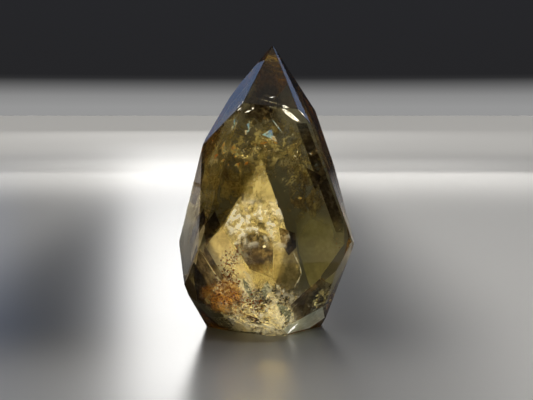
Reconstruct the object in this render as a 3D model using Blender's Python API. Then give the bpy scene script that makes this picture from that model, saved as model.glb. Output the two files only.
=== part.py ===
"""Phantom citrine: a polished, faceted point that stands on its own flat base.

Metres, +Z up. The origin is on the ground under the middle of the stone and the front faces -Y.
The stone is one convex solid, ground from a block by flat facets. Each facet is given as a gem
cutter gives it: the azimuth that it faces (0 is the front, +90 the right, 180 the back), its tilt
(positive leans up, negative leans down) and its distance from the stone's heart in millimetres.
"""
import math

import bmesh
import bpy
from mathutils import Vector

MM = 0.001

# Overall sizes
BLOCK_SIDE = 200 * MM
HEART = Vector((0.0, 0.0, 28 * MM))
CORNER_MERGE = 0.35 * MM
CUT_TOLERANCE = 0.001 * MM

# Crown: the facets that meet in the apex
CROWN = {
    "front kite": (12, 35.0, 30.0),
    "right sliver": (53, 34.5, 30.4),
    "right shoulder": (74, 30.5, 27.8),
    "left shoulder": (-74, 35.0, 28.4),
    "back left": (-105, 45.0, 35.4),
    "back": (178, 30.0, 26.0),
    "back right": (105, 34.5, 30.7),
}

# Front of the body: one large window with narrower facets to its sides
FRONT = {
    "window": (8, 5.0, 15.2),
    "upper left": (-57, 18.0, 22.8),
    "left strip": (-73, 10.0, 21.6),
    "right strip": (78, 19.5, 23.3),
    "lower right strip": (66, -23.0, 24.4),
    "lower left": (-35, -21.0, 24.1),
    "lower right": (35, -27.0, 23.6),
}

# Undercut between the body and the front of the base
UNDERCUT = {
    "left wedge": (-56, -39.0, 28.1),
    "left": (-38, -45.0, 26.5),
    "middle": (-25, -52.5, 27.0),
    "middle right": (5, -61.0, 28.9),
    "right": (45, -43.0, 26.4),
}

# Back of the body: a kite in the middle, seen through the window, and the facets round it
BACK = {
    "kite": (178, 6.0, 18.5),
    "upper left": (-155, 20.0, 21.9),
    "upper right": (154, 13.0, 17.7),
    "left diamond": (-177.5, 3.5, 19.7),
    "right": (153, -2.0, 19.2),
    "left side": (-96, 16.5, 23.5),
    "upper left side": (-107, 21.0, 24.4),
    "upper right side": (100, 18.0, 23.9),
    "right side": (95, 10.5, 22.2),
    "lower left side": (-92, -19.0, 25.4),
    "lower right side": (95, -14.0, 23.2),
    "right side of the base": (93, -17.0, 23.2),
    "lower left": (-150, -16.0, 26.4),
    "lower right": (135, -25.0, 25.5),
    "heel": (178, -36.0, 28.0),
}

# Polished quartz, honey to olive in colour
COLOUR = (0.47, 0.36, 0.15, 1.0)
ROUGHNESS = 0.03
REFRACTIVE_INDEX = 1.55


def facing(azimuth, tilt):
    """Outward direction of a facet."""
    a = math.radians(azimuth)
    t = math.radians(tilt)
    return Vector((math.cos(t) * math.sin(a), -math.cos(t) * math.cos(a), math.sin(t)))


def grind(stone, point, outward):
    """Take away all that lies outside a plane and close the flat that this leaves."""
    everything = stone.verts[:] + stone.edges[:] + stone.faces[:]
    bmesh.ops.bisect_plane(
        stone,
        geom=everything,
        dist=CUT_TOLERANCE,
        plane_co=point,
        plane_no=outward,
        clear_outer=True,
    )
    rim = [edge for edge in stone.edges if edge.is_boundary]
    bmesh.ops.holes_fill(stone, edges=rim, sides=0)


def cut_stone():
    """The whole stone as one closed mesh of flat facets."""
    stone = bmesh.new()
    bmesh.ops.create_cube(stone, size=BLOCK_SIDE)
    bmesh.ops.translate(stone, verts=stone.verts[:], vec=HEART)
    for tier in (CROWN, FRONT, UNDERCUT, BACK):
        for azimuth, tilt, distance in tier.values():
            outward = facing(azimuth, tilt)
            grind(stone, HEART + outward * distance * MM, outward)
    grind(stone, Vector((0.0, 0.0, 0.0)), Vector((0.0, 0.0, -1.0)))

    # Corners where several facets meet in nearly one point are one corner on the stone
    bmesh.ops.remove_doubles(stone, verts=stone.verts[:], dist=CORNER_MERGE)
    bmesh.ops.dissolve_degenerate(stone, edges=stone.edges[:], dist=CUT_TOLERANCE)
    for corner in stone.verts:
        if corner.co.z < CORNER_MERGE:
            corner.co.z = 0.0
    bmesh.ops.triangulate(stone, faces=stone.faces[:], quad_method="BEAUTY", ngon_method="BEAUTY")
    bmesh.ops.recalc_face_normals(stone, faces=stone.faces[:])
    return stone


def quartz():
    """Clear honey-coloured quartz."""
    material = bpy.data.materials.new("citrine quartz")
    material.use_nodes = True
    shader = material.node_tree.nodes["Principled BSDF"]
    shader.inputs["Base Color"].default_value = COLOUR
    shader.inputs["Metallic"].default_value = 0.0
    shader.inputs["Roughness"].default_value = ROUGHNESS
    shader.inputs["IOR"].default_value = REFRACTIVE_INDEX
    shader.inputs["Transmission Weight"].default_value = 1.0
    return material


for old in list(bpy.data.objects):
    bpy.data.objects.remove(old)

collection = bpy.data.collections.new("phantom citrine")
bpy.context.scene.collection.children.link(collection)

mesh = bpy.data.meshes.new("citrine")
stone = cut_stone()
stone.to_mesh(mesh)
stone.free()
mesh.materials.append(quartz())
collection.objects.link(bpy.data.objects.new("citrine", mesh))
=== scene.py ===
"""Looks for the phantom citrine point: the clear stone, what grew inside it, floor, light and camera."""
import math
import random

import bmesh
import bpy
from mathutils import Matrix, Vector, noise


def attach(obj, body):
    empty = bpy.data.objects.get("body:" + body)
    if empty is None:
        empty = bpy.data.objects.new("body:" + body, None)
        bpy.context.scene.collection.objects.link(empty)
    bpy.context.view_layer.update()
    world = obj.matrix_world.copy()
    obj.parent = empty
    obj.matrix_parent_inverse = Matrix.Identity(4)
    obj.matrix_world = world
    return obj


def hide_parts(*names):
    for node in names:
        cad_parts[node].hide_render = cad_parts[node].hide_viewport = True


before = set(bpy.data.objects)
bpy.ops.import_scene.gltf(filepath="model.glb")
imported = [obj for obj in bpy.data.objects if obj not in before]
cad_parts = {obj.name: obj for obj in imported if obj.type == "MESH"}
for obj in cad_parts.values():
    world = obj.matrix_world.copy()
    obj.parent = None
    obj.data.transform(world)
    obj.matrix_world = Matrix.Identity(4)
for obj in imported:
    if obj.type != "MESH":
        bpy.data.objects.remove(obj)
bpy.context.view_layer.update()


# Camera
# At the photograph's height, 6 degrees above level, with a short telephoto lens that keeps the
# stone's upright edges nearly parallel.

MM = 0.001
CAMERA_ELEVATION = 6.0
CAMERA_LENS = 60
CAMERA_DISTANCE = 250 * MM
CAMERA_TARGET = Vector((0.0, 0.0, 36.7 * MM))

lens = bpy.data.cameras.new("camera")
lens.lens = CAMERA_LENS
lens.sensor_width = 36
lens.clip_start = 0.005
lens.clip_end = 50
camera = bpy.data.objects.new("camera", lens)
bpy.context.scene.collection.objects.link(camera)
rise = math.radians(CAMERA_ELEVATION)
camera.location = CAMERA_TARGET + Vector((0.0, -math.cos(rise), math.sin(rise))) * CAMERA_DISTANCE
camera.rotation_euler = (math.radians(90 - CAMERA_ELEVATION), 0.0, 0.0)
bpy.context.scene.camera = camera


# Stone
# One block of clear quartz, ground in flat facets and polished. Its honey to olive colour comes
# from the depth of quartz that the light crosses, so it is set as absorption. The facets' edges
# are a little worn.

SAME_FACET = math.radians(1.2)
EDGE_WEAR = 0.12 * MM
QUARTZ_INDEX = 1.55
POLISH_ROUGHNESS = 0.012
HONEY = (0.84, 0.72, 0.25, 1.0)
HONEY_DENSITY = 80.0

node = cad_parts["citrine"]
mesh = node.data.copy()
mesh.name = "citrine_stone"
mesh.transform(node.matrix_world)
bm = bmesh.new()
bm.from_mesh(mesh)
bmesh.ops.remove_doubles(bm, verts=bm.verts[:], dist=0.01 * MM)
bmesh.ops.dissolve_limit(
    bm,
    angle_limit=SAME_FACET,
    verts=bm.verts[:],
    edges=bm.edges[:],
)
bmesh.ops.bevel(
    bm,
    geom=bm.edges[:],
    offset=EDGE_WEAR,
    affect="EDGES",
    segments=2,
    profile=0.5,
    material=-1,
    clamp_overlap=True,
)
bmesh.ops.recalc_face_normals(bm, faces=bm.faces[:])
bm.to_mesh(mesh)
bm.free()

quartz = bpy.data.materials.new("citrine_quartz")
quartz.use_nodes = True
nodes = quartz.node_tree.nodes
links = quartz.node_tree.links
shader = nodes["Principled BSDF"]
shader.inputs["Base Color"].default_value = (1.0, 1.0, 1.0, 1.0)
shader.inputs["Metallic"].default_value = 0.0
shader.inputs["Roughness"].default_value = POLISH_ROUGHNESS
shader.inputs["IOR"].default_value = QUARTZ_INDEX
shader.inputs["Transmission Weight"].default_value = 1.0
absorption = nodes.new("ShaderNodeVolumeAbsorption")
absorption.inputs["Color"].default_value = HONEY
absorption.inputs["Density"].default_value = HONEY_DENSITY
links.new(absorption.outputs["Volume"], nodes["Material Output"].inputs["Volume"])

mesh.materials.clear()
mesh.materials.append(quartz)
stone = bpy.data.objects.new("citrine_stone", mesh)
bpy.context.scene.collection.objects.link(stone)
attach(stone, "root")
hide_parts("citrine")


# Veils
# Cracks that healed while the crystal grew, each a thin crumpled sheet of tiny bubbles and clay
# that scatters the light, without a thickness of its own. Many carry a painted glow for the light
# that shines through them from behind. The plain dark sheets are painted shade, and the plain
# pale, tan and olive panels are painted light, for the dark and bright surroundings that the
# facets show by refraction. All of them end inside the polish.

CLEAR_OF_POLISH = 0.3 * MM
VEIL_SEGMENTS = 72
CRUMPLE_WAVES = 1.4
RIM_WAVES = 2.2
RIM_RAGGEDNESS = 0.35
RIM_STEEPNESS = 1.6
NOISE_STEP = (7.3, 3.1)

facets = [(face.center.copy(), face.normal.copy()) for face in node.data.polygons]


def depth_in_stone(point):
    """How far a point lies below the nearest facet."""
    return min((centre - point).dot(outward) for centre, outward in facets)


def facing(azimuth, tilt):
    """Turn that lays a flat sheet's face toward an azimuth (0 is the front) and a tilt, in degrees."""
    a = math.radians(azimuth)
    t = math.radians(tilt)
    toward = Vector((math.cos(t) * math.sin(a), -math.cos(t) * math.cos(a), math.sin(t)))
    return toward.to_track_quat("Z", "Y").to_matrix().to_4x4()


def spread_tones(ramp, tones, start, reach):
    """Puts tones at even steps on a ramp, over the part of it that the noise mostly keeps to."""
    for number, tone in enumerate(tones):
        at = start + reach * number / (len(tones) - 1)
        if number < 2:
            stop = ramp.color_ramp.elements[number]
            stop.position = at
        else:
            stop = ramp.color_ramp.elements.new(at)
        stop.color = (*tone, 1.0)


def set_in_stone(name, shape, material):
    """Makes a finished shape a piece of its own inside the stone."""
    skin = bpy.data.meshes.new(name)
    shape.to_mesh(skin)
    shape.free()
    skin.materials.append(material)
    piece = bpy.data.objects.new(name, skin)
    bpy.context.scene.collection.objects.link(piece)
    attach(piece, "root")


# Clouds with gaps between them. Mask says how thick they are, and thins where the sheet fades.
# Shade is how pale.
wisps = bpy.data.node_groups.new("wisps", "ShaderNodeTree")
for wanted in ("Size", "Swirl", "Detail", "Grain Size", "Grain", "Gap", "Full"):
    wisps.interface.new_socket(wanted, in_out="INPUT", socket_type="NodeSocketFloat")
for given in ("Mask", "Shade"):
    wisps.interface.new_socket(given, in_out="OUTPUT", socket_type="NodeSocketFloat")
wisps_in = wisps.nodes.new("NodeGroupInput")
wisps_out = wisps.nodes.new("NodeGroupOutput")
tie = wisps.links.new
place = wisps.nodes.new("ShaderNodeTexCoord")
cloud = wisps.nodes.new("ShaderNodeTexNoise")
cloud.inputs["Roughness"].default_value = 0.62
tie(place.outputs["Object"], cloud.inputs["Vector"])
tie(wisps_in.outputs["Size"], cloud.inputs["Scale"])
tie(wisps_in.outputs["Swirl"], cloud.inputs["Distortion"])
tie(wisps_in.outputs["Detail"], cloud.inputs["Detail"])
grain = wisps.nodes.new("ShaderNodeTexNoise")
grain.inputs["Detail"].default_value = 3.0
tie(place.outputs["Object"], grain.inputs["Vector"])
tie(wisps_in.outputs["Grain Size"], grain.inputs["Scale"])
blend = wisps.nodes.new("ShaderNodeMix")
tie(wisps_in.outputs["Grain"], blend.inputs["Factor"])
tie(cloud.outputs["Fac"], blend.inputs["A"])
tie(grain.outputs["Fac"], blend.inputs["B"])
cut = wisps.nodes.new("ShaderNodeMapRange")
cut.interpolation_type = "SMOOTHSTEP"
tie(blend.outputs["Result"], cut.inputs["Value"])
tie(wisps_in.outputs["Gap"], cut.inputs["From Min"])
tie(wisps_in.outputs["Full"], cut.inputs["From Max"])
rim = wisps.nodes.new("ShaderNodeAttribute")
rim.attribute_name = "fade"
thin = wisps.nodes.new("ShaderNodeMath")
thin.operation = "MULTIPLY"
tie(cut.outputs["Result"], thin.inputs[0])
tie(rim.outputs["Fac"], thin.inputs[1])
tie(thin.outputs["Value"], wisps_out.inputs["Mask"])
other = wisps.nodes.new("ShaderNodeTexNoise")
other.noise_dimensions = "4D"
other.inputs["W"].default_value = 5.0
other.inputs["Detail"].default_value = 4.0
tie(place.outputs["Object"], other.inputs["Vector"])
tie(wisps_in.outputs["Size"], other.inputs["Scale"])
tone = wisps.nodes.new("ShaderNodeMix")
tone.inputs["Factor"].default_value = 0.4
tie(other.outputs["Fac"], tone.inputs["A"])
tie(grain.outputs["Fac"], tone.inputs["B"])
tie(tone.outputs["Result"], wisps_out.inputs["Shade"])


def veil_material(
    name,
    tones,
    thickest,
    size,
    swirl,
    grain_size,
    grain,
    gap,
    full,
    roughness,
    index,
    see_through=1.0,
    glow=0.0,
    detail=6.0,
):
    """Scattering sheet: its colours from dark to pale, its painted glow, and the sizes of its pattern.

    It is clear where the pattern is below gap, and as thick as it gets where it is above full.
    """
    material = bpy.data.materials.new(name)
    material.use_nodes = True
    tree = material.node_tree
    shader = tree.nodes["Principled BSDF"]
    pattern = tree.nodes.new("ShaderNodeGroup")
    pattern.node_tree = wisps
    pattern.inputs["Size"].default_value = 1.0 / size
    pattern.inputs["Swirl"].default_value = swirl
    pattern.inputs["Detail"].default_value = detail
    pattern.inputs["Grain Size"].default_value = 1.0 / grain_size
    pattern.inputs["Grain"].default_value = grain
    pattern.inputs["Gap"].default_value = gap
    pattern.inputs["Full"].default_value = full
    tint = tree.nodes.new("ShaderNodeValToRGB")
    spread_tones(tint, tones, start=0.41, reach=0.18)
    cover = tree.nodes.new("ShaderNodeMath")
    cover.operation = "MULTIPLY"
    cover.inputs[1].default_value = thickest
    tree.links.new(pattern.outputs["Shade"], tint.inputs["Fac"])
    tree.links.new(tint.outputs["Color"], shader.inputs["Base Color"])
    # Painted glow: the tint also shines, standing in for light through the sheet from behind.
    tree.links.new(tint.outputs["Color"], shader.inputs["Emission Color"])
    shader.inputs["Emission Strength"].default_value = glow
    tree.links.new(pattern.outputs["Mask"], cover.inputs[0])
    tree.links.new(cover.outputs["Value"], shader.inputs["Alpha"])
    shader.inputs["Metallic"].default_value = 0.0
    shader.inputs["Roughness"].default_value = roughness
    shader.inputs["IOR"].default_value = index
    shader.inputs["Transmission Weight"].default_value = see_through
    return material


def veil(name, middle, azimuth, tilt, width, height, crumple, seed, material, outline=(), soft=1.2):
    """A crumpled sheet round a middle point, in millimetres, thinning toward its rim.

    Where it ends at other cracks its outline is given, as corners from the middle, right and up.
    Near the polish it thins over the depth called soft.
    """
    sheet = bmesh.new()
    bmesh.ops.create_grid(sheet, x_segments=VEIL_SEGMENTS, y_segments=VEIL_SEGMENTS, size=1.0)
    fade = sheet.verts.layers.float.new("fade")
    shift = Vector((seed * NOISE_STEP[0], seed * NOISE_STEP[1], 0.0))
    for vert in sheet.verts:
        ragged = RIM_RAGGEDNESS * noise.noise(vert.co * RIM_WAVES + shift)
        out = Vector((vert.co.x, vert.co.y, 0.0)).length + ragged
        vert[fade] = min(1.0, max(0.0, RIM_STEEPNESS * (1.0 - out)))
        bend = noise.fractal(vert.co * CRUMPLE_WAVES + shift, 1.0, 2.0, 4)
        vert.co = Vector((vert.co.x * width / 2, vert.co.y * height / 2, bend * crumple)) * MM
    for start, end in zip(outline, outline[1:] + outline[:1]):
        along = Vector((end[0] - start[0], end[1] - start[1], 0.0)).normalized()
        bmesh.ops.bisect_plane(
            sheet,
            geom=sheet.verts[:] + sheet.edges[:] + sheet.faces[:],
            plane_co=Vector((start[0], start[1], 0.0)) * MM,
            plane_no=Vector((along.y, -along.x, 0.0)),
            clear_outer=True,
        )
    turn = Matrix.Translation(Vector(middle) * MM) @ facing(azimuth, tilt)
    bmesh.ops.transform(sheet, matrix=turn, verts=sheet.verts[:])
    outside = []
    for vert in sheet.verts:
        below = depth_in_stone(vert.co) - CLEAR_OF_POLISH
        vert[fade] *= min(1.0, max(0.0, below / (soft * MM)))
        if vert[fade] <= 0.0:
            outside.append(vert)
    bmesh.ops.delete(sheet, geom=outside, context="VERTS")
    for face in sheet.faces:
        face.smooth = True
    set_in_stone(name, sheet, material)


olive_veil = veil_material(
    "olive_veil",
    tones=((0.10, 0.06, 0.015), (0.40, 0.30, 0.08), (0.88, 0.76, 0.28)),
    thickest=0.88,
    size=6.5 * MM,
    swirl=1.1,
    grain_size=0.8 * MM,
    grain=0.18,
    gap=0.40,
    full=0.58,
    roughness=0.6,
    index=1.5,
)
milky_veil = veil_material(
    "milky_veil",
    tones=((0.40, 0.30, 0.16), (0.80, 0.72, 0.50), (1.0, 0.99, 0.93)),
    thickest=0.95,
    size=3.4 * MM,
    swirl=0.8,
    grain_size=0.6 * MM,
    grain=0.4,
    gap=0.46,
    full=0.56,
    roughness=0.55,
    index=1.8,
)
# Veil with painted sparkle: its strong glow draws bright glints.
painted_sparkle_veil = veil_material(
    "painted_sparkle_veil",
    tones=((0.80, 0.68, 0.42), (1.0, 0.95, 0.78), (1.0, 1.0, 0.94)),
    thickest=0.88,
    size=3.0 * MM,
    swirl=0.3,
    grain_size=1.1 * MM,
    grain=0.45,
    gap=0.46,
    full=0.59,
    roughness=0.5,
    index=1.9,
    glow=0.66,
    detail=1.5,
)
clay_veil = veil_material(
    "clay_veil",
    tones=((0.40, 0.33, 0.19), (0.90, 0.86, 0.67), (1.0, 0.99, 0.90)),
    thickest=0.92,
    size=4.2 * MM,
    swirl=0.8,
    grain_size=1.0 * MM,
    grain=0.38,
    gap=0.45,
    full=0.55,
    roughness=0.6,
    index=1.7,
    glow=0.30,
    detail=4.0,
)
# Painted shade: near-black sheets that darken where the facets show dark surroundings.
painted_shade_veil = veil_material(
    "painted_shade_veil",
    tones=((0.008, 0.004, 0.001), (0.03, 0.018, 0.008), (0.16, 0.11, 0.06)),
    thickest=0.97,
    size=4.0 * MM,
    swirl=0.3,
    grain_size=1.0 * MM,
    grain=0.2,
    gap=0.20,
    full=0.42,
    roughness=0.35,
    index=1.2,
    detail=3.0,
)
# Painted light: pale, tan and olive sheets whose glow stands in for bright surroundings seen through the
# facets.
tan_painted_light = veil_material(
    "tan_painted_light",
    tones=((0.36, 0.29, 0.12), (0.66, 0.54, 0.27), (0.95, 0.85, 0.55)),
    thickest=0.8,
    size=3.4 * MM,
    swirl=0.5,
    grain_size=0.8 * MM,
    grain=0.25,
    gap=0.22,
    full=0.50,
    roughness=0.4,
    index=1.5,
    glow=0.10,
    detail=4.0,
)
pale_painted_light = veil_material(
    "pale_painted_light",
    tones=((0.42, 0.45, 0.33), (0.60, 0.64, 0.50), (0.82, 0.86, 0.72)),
    thickest=0.85,
    size=5.0 * MM,
    swirl=0.3,
    grain_size=1.0 * MM,
    grain=0.15,
    gap=0.15,
    full=0.32,
    roughness=0.3,
    index=1.4,
    glow=0.22,
)
grey_tan_painted_light = veil_material(
    "grey_tan_painted_light",
    tones=((0.50, 0.42, 0.28), (0.74, 0.64, 0.45), (0.92, 0.84, 0.64)),
    thickest=0.85,
    size=3.5 * MM,
    swirl=0.3,
    grain_size=0.8 * MM,
    grain=0.2,
    gap=0.15,
    full=0.34,
    roughness=0.35,
    index=1.4,
    glow=0.36,
    detail=3.0,
)
olive_painted_light = veil_material(
    "olive_painted_light",
    tones=((0.34, 0.32, 0.12), (0.46, 0.44, 0.17), (0.60, 0.57, 0.26)),
    thickest=0.5,
    size=6.0 * MM,
    swirl=0.3,
    grain_size=1.0 * MM,
    grain=0.1,
    gap=0.15,
    full=0.34,
    roughness=0.3,
    index=1.3,
    glow=0.22,
    detail=3.0,
)
golden_veil = veil_material(
    "golden_veil",
    tones=((0.55, 0.42, 0.12), (0.90, 0.78, 0.32), (1.0, 0.95, 0.62)),
    thickest=0.9,
    size=4.2 * MM,
    swirl=1.3,
    grain_size=0.6 * MM,
    grain=0.2,
    gap=0.48,
    full=0.60,
    roughness=0.45,
    index=1.9,
    glow=0.16,
)
rust_veil = veil_material(
    "rust_veil",
    tones=((0.06, 0.018, 0.005), (0.55, 0.18, 0.02), (0.95, 0.45, 0.06)),
    thickest=1.0,
    size=3.0 * MM,
    swirl=0.8,
    grain_size=0.5 * MM,
    grain=0.5,
    gap=0.36,
    full=0.45,
    roughness=0.7,
    index=1.5,
    see_through=0.8,
    glow=0.14,
)

veil("upper_veil", (0.5, 1.0, 52.0), 8, 8, 34, 22, 2.4, 1, olive_veil)
veil("upper_veil_behind", (-6.0, 7.0, 46.0), -20, 25, 30, 26, 2.0, 2, olive_veil)
veil("right_veil", (11.0, 2.0, 42.0), 35, 5, 18, 34, 2.0, 3, olive_veil)
veil("left_veil", (-12.0, 0.0, 38.0), -40, 10, 20, 34, 2.4, 4, olive_veil)
# Painted shade: two dark sheets that darken the crown.
veil("crown_painted_shade_back", (-2.0, 4.0, 60.8), 0, 10, 13, 10, 0.8, 10, painted_shade_veil)
veil("crown_painted_shade_front", (0.0, -2.5, 68.0), 12, 35, 14, 20, 0.5, 28, painted_shade_veil)
veil("golden_wisps", (0.5, -2.0, 52.0), 10, 0, 24, 15, 2.0, 14, golden_veil)
veil("golden_wisps_right", (7.0, 1.0, 46.0), 30, 20, 16, 18, 2.0, 15, golden_veil)
veil("clay_cloud", (-1.0, -9.0, 8.6), 5, -20, 24, 15, 2.6, 16, clay_veil)
veil("clay_trail", (-8.6, -8.0, 16.0), -5, 0, 11, 20, 1.4, 19, clay_veil)
veil("golden_wisps_left", (-9.0, -5.0, 13.0), -20, 0, 14, 16, 2.0, 17, golden_veil)
veil("window_veil", (-3.5, 9.0, 29.5), 5, 3, 20, 20, 1.2, 5, milky_veil)
# Veil with painted sparkle over the window facet, cut to its edges.
veil(
    "window_painted_sparkle", (-2.5, -9.5, 31.8), 8, 5, 34, 17, 0.8, 18, painted_sparkle_veil,
    outline=[(1.3, 17.2), (-9.4, -1.4), (-6.5, -6.3), (-2.0, -9.8), (6.0, -9.8), (9.4, -6.5)],
)
# Painted light: a tan panel cut to the facet that shows bright surroundings.
veil(
    "tan_panel", (5.0, -5.0, 19.0), 0, 5, 16, 22, 0.5, 20, tan_painted_light,
    outline=[
        (-1.5, 6.4), (-3.7, 5.9), (-3.7, -3.5), (-1.0, -7.0),
        (2.0, -5.9), (4.0, -2.0), (3.7, -0.1), (2.7, 5.3),
    ],
)
veil("golden_wisps_low", (15.2, -9.7, 11.4), 35, -27, 8, 15, 0.3, 27, golden_veil, soft=0.5)
veil("clay_base", (0.0, -5.5, 5.0), 0, -45, 22, 12, 1.4, 25, clay_veil)
# Painted light: pale panels cut to the facets and corners that show bright surroundings.
veil(
    "left_painted_light_panel", (-9.4, -6.4, 19.3), 0, 5, 30, 40, 0.2, 32, grey_tan_painted_light,
    outline=[(-3.0, 10.2), (-8.6, 6.2), (-9.2, 4.4), (0.2, -10.2), (6.6, -6.5)],
)
veil(
    "right_painted_light_panel", (13.0, 0.3, 21.5), -10, 0, 24, 28, 0.2, 33, olive_painted_light,
    outline=[(7.5, 12.5), (-8.5, 12.5), (-4.8, 0.6), (-3.6, -10.0), (-1.1, -9.6), (8.2, 3.4)],
)
veil(
    "pale_corner", (-6.5, -6.8, 3.6), -5, -50, 14, 18, 0.3, 23, tan_painted_light,
    outline=[(0.1, 5.6), (-3.7, -3.9), (3.6, -2.8)],
)
veil(
    "pale_wedge", (11.1, -5.9, 3.3), 45, -43, 50, 50, 0.1, 29, pale_painted_light,
    outline=[(1.2, 6.8), (-9.8, 0.0), (-5.6, -3.4), (3.4, -3.4), (6.8, 0.6)], soft=0.3,
)
# Painted shade: dark sheets cut to the facets, corners and patches that show dark surroundings.
veil(
    "dark_band", (11.4, -10.0, 11.5), 35, -27, 34, 34, 0.3, 24, painted_shade_veil,
    outline=[(1.9, 6.1), (-5.6, -2.0), (-3.6, -6.6), (-1.6, -6.8), (5.4, -2.6), (4.8, 4.6)],
)
veil(
    "dark_corner_left", (-16.3, -8.6, 16.0), -35, -21, 22, 36, 0.2, 34, painted_shade_veil,
    outline=[(2.1, 10.7), (-2.6, 1.3), (-3.5, -6.0), (-1.3, -6.0), (6.2, 1.3)],
)
veil(
    "dark_strip", (-17.2, -5.3, 41.3), -73, 10, 22, 32, 0.2, 35, painted_shade_veil,
    outline=[(-3.0, 12.5), (-8.0, 2.0), (-9.0, -5.5), (-1.0, -6.0), (2.0, -1.5), (1.0, 3.0)],
)
veil(
    "dark_side", (14.0, -1.2, 43.0), 0, 0, 30, 60, 0.2, 31, painted_shade_veil,
    outline=[(-3.5, 15.0), (-6.4, 15.0), (4.6, -15.0), (8.0, -15.5)],
)
veil(
    "dark_corner", (12.2, -4.0, 43.3), 10, 5, 18, 22, 0.3, 26, painted_shade_veil,
    outline=[(-2.0, 3.0), (0.7, -3.6), (2.3, 0.5)],
)
veil(
    "dark_wedge", (5.5, -5.5, 26.0), 0, 5, 12, 16, 0.4, 21, painted_shade_veil,
    outline=[(-2.6, 3.9), (-2.0, -0.6), (0.1, -3.9), (2.2, -1.7), (1.9, 2.2)],
)
veil(
    "dark_patch_left", (-15.2, -8.0, 30.0), -10, 5, 16, 22, 0.4, 22, painted_shade_veil,
    outline=[(0.8, 4.6), (-2.3, 0.0), (-1.5, -4.7), (2.5, 0.6)],
)
veil(
    "painted_shade_patch", (-4.0, 9.0, 20.0), 2, 5, 20, 17, 0.8, 11, painted_shade_veil,
    outline=[(-6.5, 3.2), (-2.0, -3.8), (4.6, -6.4), (4.6, 5.5), (-2.0, 8.0)],
)
veil("base_veil", (1.0, -6.0, 9.0), 5, -15, 26, 18, 3.0, 6, milky_veil)
veil("base_veil_low", (1.0, 2.0, 5.0), 0, 50, 30, 20, 2.0, 7, milky_veil)
veil("rust_patch", (-11.6, -10.0, 12.0), -25, -10, 14, 11, 1.0, 8, rust_veil)


# Net
# Fingerprint veils of fine golden channels, left where a crack healed unevenly. One is under the
# top at the right, and the other low on the right.

NET_MESH = 0.75 * MM
NET_LINE = 0.12
NET_CORE = 0.3

net_gold = bpy.data.materials.new("net_gold")
net_gold.use_nodes = True
nodes = net_gold.node_tree.nodes
links = net_gold.node_tree.links
shader = nodes["Principled BSDF"]
shader.inputs["Base Color"].default_value = (0.95, 0.80, 0.36, 1.0)
shader.inputs["Roughness"].default_value = 0.5
shader.inputs["IOR"].default_value = 1.8
shader.inputs["Transmission Weight"].default_value = 1.0
place = nodes.new("ShaderNodeTexCoord")
cells = nodes.new("ShaderNodeTexVoronoi")
cells.feature = "DISTANCE_TO_EDGE"
cells.inputs["Scale"].default_value = 1.0 / NET_MESH
line = nodes.new("ShaderNodeMapRange")
line.inputs["From Min"].default_value = NET_LINE
line.inputs["From Max"].default_value = NET_LINE * NET_CORE
rim = nodes.new("ShaderNodeAttribute")
rim.attribute_name = "fade"
thin = nodes.new("ShaderNodeMath")
thin.operation = "MULTIPLY"
links.new(place.outputs["Object"], cells.inputs["Vector"])
links.new(cells.outputs["Distance"], line.inputs["Value"])
links.new(line.outputs["Result"], thin.inputs[0])
links.new(rim.outputs["Fac"], thin.inputs[1])
links.new(thin.outputs["Value"], shader.inputs["Alpha"])

veil("net_veil", (7.2, -3.0, 48.5), 20, 10, 7, 10, 0.8, 12, net_gold)
veil("net_veil_low", (15.3, -9.8, 11.2), 35, -27, 6, 11, 0.3, 13, net_gold, soft=0.5)


# Specks
# Crumbs of rust and gold-brown clay that were caught in the cracks, the rust ones mostly low on
# the left, and the gold ones in the base and under the top.

FEW_LARGE = 1.8
SPECK_COLOUR_SIZE = 0.7 * MM


def specks(name, start, end, spread, count, smallest, largest, seed, material):
    """Flattened crumbs strewn round the line from start to end, in millimetres."""
    pick = random.Random(seed)
    crumbs = bmesh.new()
    made = 0
    while made < count:
        along = Vector(start).lerp(Vector(end), pick.random()) * MM
        middle = along + Vector([pick.gauss(0.0, reach * MM) for reach in spread])
        if depth_in_stone(middle) < CLEAR_OF_POLISH + largest * MM:
            continue
        radius = (smallest + (largest - smallest) * pick.random() ** FEW_LARGE) * MM
        roll = pick.uniform(0, math.tau)
        axis = Vector([pick.gauss(0, 1) for draw in range(3)])
        turn = Matrix.Rotation(roll, 4, axis)
        squash = Matrix.Diagonal((1.0, pick.uniform(0.5, 1.0), pick.uniform(0.25, 0.7), 1.0))
        bmesh.ops.create_icosphere(
            crumbs,
            subdivisions=1,
            radius=radius,
            matrix=Matrix.Translation(middle) @ turn @ squash,
        )
        made += 1
    set_in_stone(name, crumbs, material)


def speck_material(name, first, second, metallic, roughness, glow):
    """Crumbs whose colour wanders between two tones, with a faint painted glow for light from behind."""
    material = bpy.data.materials.new(name)
    material.use_nodes = True
    tree = material.node_tree
    shader = tree.nodes["Principled BSDF"]
    place = tree.nodes.new("ShaderNodeTexCoord")
    wander = tree.nodes.new("ShaderNodeTexNoise")
    wander.inputs["Scale"].default_value = 1.0 / SPECK_COLOUR_SIZE
    mix = tree.nodes.new("ShaderNodeValToRGB")
    spread_tones(mix, (first, second), start=0.4, reach=0.2)
    tree.links.new(place.outputs["Object"], wander.inputs["Vector"])
    tree.links.new(wander.outputs["Fac"], mix.inputs["Fac"])
    tree.links.new(mix.outputs["Color"], shader.inputs["Base Color"])
    # Painted glow for the light that shines through the crumbs.
    tree.links.new(mix.outputs["Color"], shader.inputs["Emission Color"])
    shader.inputs["Emission Strength"].default_value = glow
    shader.inputs["Metallic"].default_value = metallic
    shader.inputs["Roughness"].default_value = roughness
    return material


rust = speck_material("rust_specks", (0.10, 0.03, 0.010), (0.58, 0.19, 0.03), 0.0, 0.55, 0.10)
gold = speck_material("gold_specks", (0.75, 0.50, 0.18), (1.0, 0.85, 0.45), 0.3, 0.4, 0.25)

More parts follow.
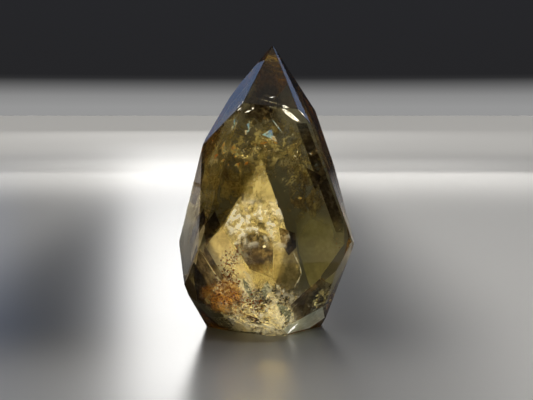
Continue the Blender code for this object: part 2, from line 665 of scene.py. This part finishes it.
specks(
    "rust_specks_patch", (-13.5, -9.5, 10.5), (-9, -10.5, 13), (1.4, 1.0, 1.4),
    140, 0.12, 0.48, 21, rust,
)
specks(
    "rust_specks_upper", (-7.8, -9.5, 24.5), (-11.8, -10.5, 19), (1.0, 0.6, 1.0),
    110, 0.14, 0.42, 22, rust,
)
specks(
    "rust_specks_trail", (-11.4, -10.5, 18.5), (-9.0, -10.5, 12.5), (1.1, 0.6, 1.2),
    170, 0.14, 0.46, 28, rust,
)
specks(
    "rust_specks_base", (-9.0, -10.5, 12.5), (-1.6, -10.0, 8.4), (1.3, 0.8, 1.1),
    180, 0.12, 0.44, 23, rust,
)
specks("rust_specks_low", (-6, -5, 6.5), (8, -4, 8), (2.0, 2.0, 1.6), 60, 0.08, 0.32, 29, rust)
specks("gold_specks_base", (-8, -3, 7), (8, 0, 8), (2.4, 3.0, 2.4), 120, 0.08, 0.32, 24, gold)
specks("gold_specks_right", (17, -3, 12), (13, 0, 9), (1.2, 1.6, 1.6), 60, 0.08, 0.34, 25, gold)
specks("gold_specks_upper", (-11, -2, 49), (6, -2, 50), (2.4, 2.4, 2.6), 70, 0.06, 0.28, 26, gold)
specks("dark_specks_right", (19, -2, 21), (19, -2, 27), (0.3, 0.6, 0.8), 9, 0.12, 0.26, 27, rust)


# Cracks
# Small open cracks near the top, in the rust and in the base. Each is a flat flake that holds a
# film of air, so it mirrors the light and shows the film's colours, and each carries a painted glow
# as well. The white ones are painted glints, and the thin pale ones are painted edge highlights.

FILM_COLOUR_SIZE = 1.8 * MM
FILM_RAG_SIZE = 0.5 * MM


def crack_material(name, tones, glow):
    """Mirror-bright film, its colours running across it, with a painted glow."""
    material = bpy.data.materials.new(name)
    material.use_nodes = True
    tree = material.node_tree
    shader = tree.nodes["Principled BSDF"]
    place = tree.nodes.new("ShaderNodeTexCoord")
    bands = tree.nodes.new("ShaderNodeTexNoise")
    bands.inputs["Scale"].default_value = 1.0 / FILM_COLOUR_SIZE
    bands.inputs["Detail"].default_value = 2.0
    spectrum = tree.nodes.new("ShaderNodeValToRGB")
    spread_tones(spectrum, tones, start=0.36, reach=0.28)
    ragged = tree.nodes.new("ShaderNodeTexNoise")
    ragged.inputs["Scale"].default_value = 1.0 / FILM_RAG_SIZE
    ragged.inputs["Detail"].default_value = 3.0
    holes = tree.nodes.new("ShaderNodeMapRange")
    holes.inputs["From Min"].default_value = 0.36
    holes.inputs["From Max"].default_value = 0.46
    tree.links.new(place.outputs["Object"], bands.inputs["Vector"])
    tree.links.new(bands.outputs["Fac"], spectrum.inputs["Fac"])
    tree.links.new(spectrum.outputs["Color"], shader.inputs["Base Color"])
    # Painted glow: the film's colours also shine, as a painted highlight.
    tree.links.new(spectrum.outputs["Color"], shader.inputs["Emission Color"])
    tree.links.new(place.outputs["Object"], ragged.inputs["Vector"])
    tree.links.new(ragged.outputs["Fac"], holes.inputs["Value"])
    tree.links.new(holes.outputs["Result"], shader.inputs["Alpha"])
    shader.inputs["Metallic"].default_value = 1.0
    shader.inputs["Roughness"].default_value = 0.18
    shader.inputs["Emission Strength"].default_value = glow
    return material


def flakes(name, material, cuts):
    """Flat flakes in one piece: middle, azimuth, tilt, roll, number of corners, length and width."""
    chips = bmesh.new()
    for middle, azimuth, tilt, roll, corners, length, width in cuts:
        turn = Matrix.Translation(Vector(middle) * MM) @ facing(azimuth, tilt)
        turn = turn @ Matrix.Rotation(math.radians(roll), 4, "Z")
        turn = turn @ Matrix.Diagonal((length / 2 * MM, width / 2 * MM, MM, 1.0))
        bmesh.ops.create_circle(chips, cap_ends=True, segments=corners, radius=1.0, matrix=turn)
    set_in_stone(name, chips, material)


def glitter(middle, spread, count, smallest, largest, seed):
    """Cuts of small flakes that lie most ways round a middle point, in millimetres."""
    pick = random.Random(seed)
    cuts = []
    while len(cuts) < count:
        place = [pick.gauss(centre, reach) for centre, reach in zip(middle, spread)]
        length = smallest + (largest - smallest) * pick.random() ** 2
        if depth_in_stone(Vector(place) * MM) < CLEAR_OF_POLISH + length / 2 * MM:
            continue
        azimuth = pick.uniform(-70, 70)
        tilt = pick.uniform(-60, 60)
        roll = pick.uniform(0, 180)
        corners = pick.choice((3, 4, 5))
        width = length * pick.uniform(0.15, 0.7)
        cuts.append((place, azimuth, tilt, roll, corners, length, width))
    return cuts


painted_glint_crack = crack_material("painted_glint_crack", ((1.0, 0.96, 0.86), (1.0, 1.0, 1.0)), 1.4)
clear_crack = crack_material("clear_crack", ((0.95, 0.86, 0.55), (1.0, 0.98, 0.85)), 0.45)
gold_crack = crack_material("gold_crack", ((0.70, 0.55, 0.14), (1.0, 0.90, 0.42)), 0.40)
grey_crack = crack_material("grey_crack", ((0.30, 0.31, 0.18), (0.64, 0.64, 0.42)), 0.30)
rainbow_crack = crack_material(
    "rainbow_crack",
    ((0.90, 0.62, 0.22), (0.98, 0.95, 0.78), (0.55, 0.85, 0.85), (0.30, 0.45, 0.75)),
    0.5,
)
amber_crack = crack_material(
    "amber_crack",
    ((0.62, 0.20, 0.03), (0.92, 0.46, 0.08), (0.90, 0.66, 0.20), (0.50, 0.45, 0.20)),
    0.28,
)

# Painted glints: white flakes with the strongest painted glow, under the top, in the window and in the
# base.
flakes(
    "painted_glint_cracks",
    painted_glint_crack,
    [
        ((6.2, -6.5, 60.4), 10, 10, -38, 7, 5.8, 1.1),
        ((8.0, -6.5, 59.2), 10, 10, -40, 4, 2.2, 0.5),
        ((-5.2, -8.0, 61.4), 0, 10, 20, 4, 2.0, 0.4),
        ((-3.9, -8.0, 62.2), 0, 10, 70, 4, 0.7, 0.5),
        ((1.4, -9.0, 65.0), 0, 10, 14, 4, 1.6, 0.25),
        ((-1.5, 2.0, 23.6), 0, 10, 10, 5, 1.1, 0.8),
        ((7.0, -9.3, 2.5), 45, -43, 80, 4, 4.6, 1.5),
    ],
)
# Painted edge highlights: thin pale flakes that draw bright lines along facet edges.
flakes(
    "painted_edge_glints",
    clear_crack,
    [
        ((7.75, -5.0, 20.95), 0, 10, -65, 4, 4.8, 0.35),
        ((8.9, -5.4, 18.0), 0, 10, -81, 4, 2.4, 0.35),
        ((8.1, -5.6, 15.0), 0, 10, -117, 4, 4.8, 0.30),
        ((-4.6, -10.7, 13.9), 0, 10, -63, 4, 6.2, 0.25),
        ((-6.1, -10.7, 13.4), 0, 10, -63, 4, 6.2, 0.22),
        ((1.0, -10.7, 13.2), 0, 10, -78, 4, 4.4, 0.22),
        ((0.2, -5.0, 62.7), 0, 10, -15, 4, 7.2, 0.25),
        ((0.5, -4.0, 64.0), 0, 10, -12, 4, 3.6, 0.18),
    ],
)
flakes("glitter_base", clear_crack, glitter((0.0, -9.5, 8.5), (5.0, 1.6, 2.6), 150, 0.3, 2.0, 31))
flakes("glitter_right", gold_crack, glitter((14.6, -9.8, 10.6), (1.4, 1.0, 2.6), 60, 0.3, 1.4, 32))
flakes("glitter_rust", amber_crack, glitter((-10.8, -11.0, 12.0), (2.2, 0.6, 2.0), 40, 0.3, 1.3, 35))
flakes("glitter_left", amber_crack, glitter((-9.5, -5.0, 49.0), (2.6, 1.5, 2.4), 30, 0.3, 1.4, 34))
flakes("glitter_upper", clear_crack, glitter((1.0, -4.0, 50.0), (6.0, 2.0, 3.0), 60, 0.2, 1.3, 33))
flakes(
    "grey_windows",
    grey_crack,
    [
        ((-0.4, -10.5, 13.5), 0, 10, -100, 4, 5.0, 2.6),
        ((-5.3, -10.6, 13.7), 0, 10, -63, 4, 6.6, 1.9),
        ((-7.4, -10.6, 12.4), 0, 10, -62, 4, 5.6, 1.3),
        ((4.3, -10.4, 7.8), 10, 0, -58, 3, 6.5, 3.0),
    ],
)
flakes(
    "rainbow_cracks",
    rainbow_crack,
    [
        ((0.3, -5.5, 55.2), 0, 15, 95, 3, 3.4, 3.8),
        ((1.4, -5.8, 54.2), -20, 5, -35, 4, 3.2, 1.3),
        ((-5.3, -5.0, 57.6), -10, 10, 90, 3, 3.2, 1.0),
        ((-5.8, -5.0, 55.8), 10, 10, 50, 3, 2.0, 1.4),
        ((2.6, -6.0, 57.4), 0, 10, -52, 4, 5.2, 0.4),
    ],
)
flakes(
    "amber_cracks",
    amber_crack,
    [
        ((-9.3, -6.5, 51.2), -10, 10, 80, 4, 3.4, 1.8),
        ((-8.4, -6.8, 49.6), -30, 0, 20, 3, 2.2, 1.6),
        ((-5.8, -6.0, 47.4), 0, 10, 40, 4, 1.4, 0.9),
        ((-8.4, -6.3, 47.0), -10, 10, 25, 4, 2.2, 0.9),
        ((-11.8, -6.0, 49.0), -50, 18, 15, 4, 2.6, 0.6),
        ((-12.2, -6.2, 48.4), -50, 18, 80, 4, 1.8, 0.6),
        ((8.7, -5.0, 37.8), 0, 10, 0, 4, 1.4, 0.8),
        ((-1.2, -5.0, 52.8), 0, 10, 12, 4, 2.2, 0.9),
        ((2.0, -5.0, 52.9), 0, 10, -20, 4, 1.6, 0.7),
    ],
)


# Floor and light
# A plain pale satin floor under a dim soft sky. The back light is low behind the stone, so that it
# shines through it. Lamps that face down light the floor in pools round it, and the faint ones for
# crown, strip and sky are there for their reflections in single facets.

FLOOR_COLOUR = (0.48, 0.475, 0.46, 1.0)
FLOOR_ROUGHNESS = 0.32
FLOOR_SIDE = 12.0
SKY_STRENGTH = 0.85
WARM_WHITE = (1.0, 0.98, 0.95)

floor_mesh = bpy.data.meshes.new("floor")
bm = bmesh.new()
bmesh.ops.create_grid(bm, x_segments=1, y_segments=1, size=FLOOR_SIDE / 2)
bm.to_mesh(floor_mesh)
bm.free()
floor = bpy.data.objects.new("floor", floor_mesh)
bpy.context.scene.collection.objects.link(floor)
pale = bpy.data.materials.new("floor")
pale.use_nodes = True
pale.node_tree.nodes["Principled BSDF"].inputs["Base Color"].default_value = FLOOR_COLOUR
pale.node_tree.nodes["Principled BSDF"].inputs["Roughness"].default_value = FLOOR_ROUGHNESS
floor_mesh.materials.append(pale)

world = bpy.data.worlds.new("soft_sky")
bpy.context.scene.world = world
world.use_nodes = True
sky = world.node_tree
background = sky.nodes["Background"]
direction = sky.nodes.new("ShaderNodeTexCoord")
split = sky.nodes.new("ShaderNodeSeparateXYZ")
ramp = sky.nodes.new("ShaderNodeValToRGB")
sky.links.new(direction.outputs["Generated"], split.inputs["Vector"])
sky.links.new(split.outputs["Z"], ramp.inputs["Fac"])
sky.links.new(ramp.outputs["Color"], background.inputs["Color"])
ramp.color_ramp.elements[0].position = 0.0
ramp.color_ramp.elements[0].color = (0.36, 0.36, 0.36, 1.0)
ramp.color_ramp.elements[1].position = 0.6
ramp.color_ramp.elements[1].color = (0.030, 0.033, 0.042, 1.0)
haze = ramp.color_ramp.elements.new(0.012)
haze.color = (0.30, 0.30, 0.30, 1.0)
dark = ramp.color_ramp.elements.new(0.032)
dark.color = (0.022, 0.022, 0.024, 1.0)
background.inputs["Strength"].default_value = SKY_STRENGTH


def soft_light(name, place, target, width, height, power, colour, spread):
    """A rectangular area light at a place, in metres, facing a target, its spread in degrees."""
    lamp = bpy.data.lights.new(name, "AREA")
    lamp.shape = "RECTANGLE"
    lamp.size = width
    lamp.size_y = height
    lamp.energy = power
    lamp.color = colour
    lamp.spread = math.radians(spread)
    lit = bpy.data.objects.new(name, lamp)
    bpy.context.scene.collection.objects.link(lit)
    lit.location = Vector(place)
    away = Vector(place) - Vector(target)
    lit.rotation_euler = away.to_track_quat("Z", "Y").to_euler()


soft_light(
    "back_light", (-0.17, 2.00, 0.60), (0.0, 0.0, 0.03),
    0.38, 0.32, 4.9, (1.0, 0.99, 0.97), 180,
)
soft_light("far_light", (0.20, 3.50, 0.80), (0.20, 3.50, 0.0), 4.60, 5.60, 96.0, WARM_WHITE, 60)
soft_light("floor_light", (0.0, 0.60, 0.40), (0.0, 0.60, 0.0), 0.60, 0.36, 0.65, WARM_WHITE, 50)
soft_light("right_light", (0.335, 0.10, 0.10), (0.335, 0.10, 0.0), 0.57, 1.00, 1.85, WARM_WHITE, 50)
soft_light("left_light", (-0.35, 0.10, 0.10), (-0.35, 0.10, 0.0), 0.50, 1.00, 0.85, WARM_WHITE, 50)
soft_light("front_light", (0.03, -0.315, 0.10), (0.03, -0.315, 0.0), 0.50, 0.57, 0.36, WARM_WHITE, 50)
soft_light(
    "crown_light", (0.138, -0.151, 0.52), (0.0, -0.011, 0.063),
    0.14, 0.14, 0.005, (1.0, 0.90, 0.74), 90,
)
soft_light("strip_light", (-0.97, 1.75, 0.14), (0.0, 0.0, 0.03), 0.50, 0.30, 0.04, (1.0, 0.72, 0.45), 120)
soft_light("sky_left", (-0.54, 1.05, 0.30), (0.0, 0.0, 0.05), 0.34, 0.30, 0.055, (0.40, 0.58, 1.0), 120)
soft_light("sky_right", (0.90, 0.55, 0.66), (0.0, 0.0, 0.05), 0.45, 0.45, 0.36, (0.45, 0.62, 1.0), 120)

bpy.context.scene.view_settings.view_transform = "Standard"
bpy.context.scene.cycles.max_bounces = 32
bpy.context.scene.cycles.transmission_bounces = 28
bpy.context.scene.cycles.transparent_max_bounces = 16
bpy.context.scene.cycles.glossy_bounces = 8
bpy.context.scene.cycles.diffuse_bounces = 3
